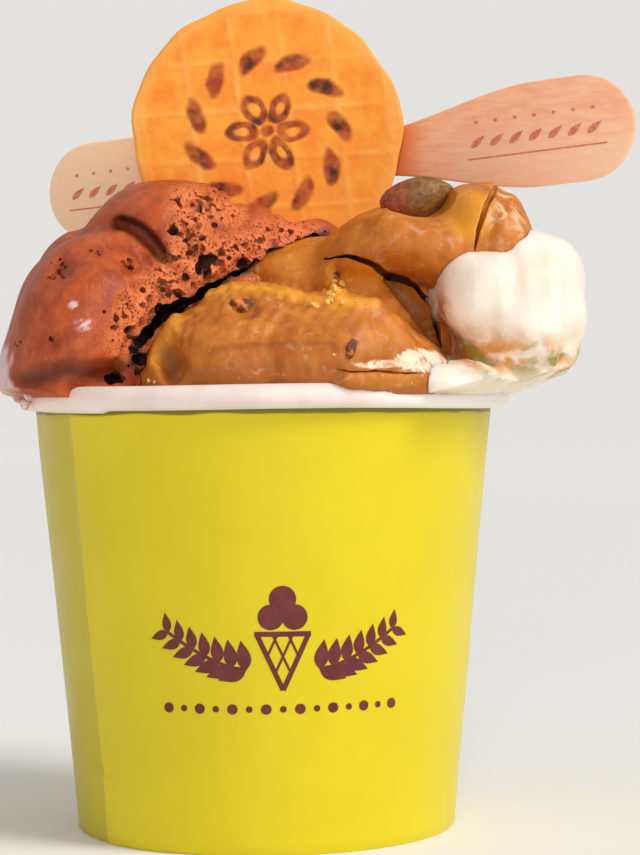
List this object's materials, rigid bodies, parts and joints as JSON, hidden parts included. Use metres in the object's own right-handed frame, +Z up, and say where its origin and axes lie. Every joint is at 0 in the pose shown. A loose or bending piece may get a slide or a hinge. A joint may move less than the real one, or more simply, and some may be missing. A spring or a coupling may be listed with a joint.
{
  "type": "gelato cup",
  "caption": "Paper tub heaped with scooped chocolate, pistachio and cream gelato, topped with a round wafer, a wooden paddle and a shelled nut.",
  "frame": {"origin": "middle of the whole object's footprint, on the plane that the tub's foot stands on", "axes": "+Z up along the tub's axis, +X to the right as the wafer's face is looked at, -Y towards the viewer"},
  "size_m": [0.1204, 0.094, 0.1605],
  "materials": {
    "yellow_paper": "semi-gloss coated board",
    "white_paper": "matt uncoated board",
    "chocolate_gelato": "smooth frozen cream with torn, porous patches",
    "pistachio_gelato": "glossy frozen cream smeared with a spatula",
    "cream_gelato": "soft frozen cream",
    "wafer_biscuit": "baked, dry and crisp",
    "birch_wood": "bare sanded wood",
    "pistachio_nut": "dry nut with patches of skin"
  },
  "bodies": {
    "root": {"cup_wall": "yellow_paper", "cup_base": "white_paper", "gelato_chocolate": "chocolate_gelato", "gelato_pistachio": "pistachio_gelato", "gelato_cream": "cream_gelato", "wafer": "wafer_biscuit", "paddle": "birch_wood", "pistachio_kernel": "pistachio_nut"}
  },
  "joints": []
}
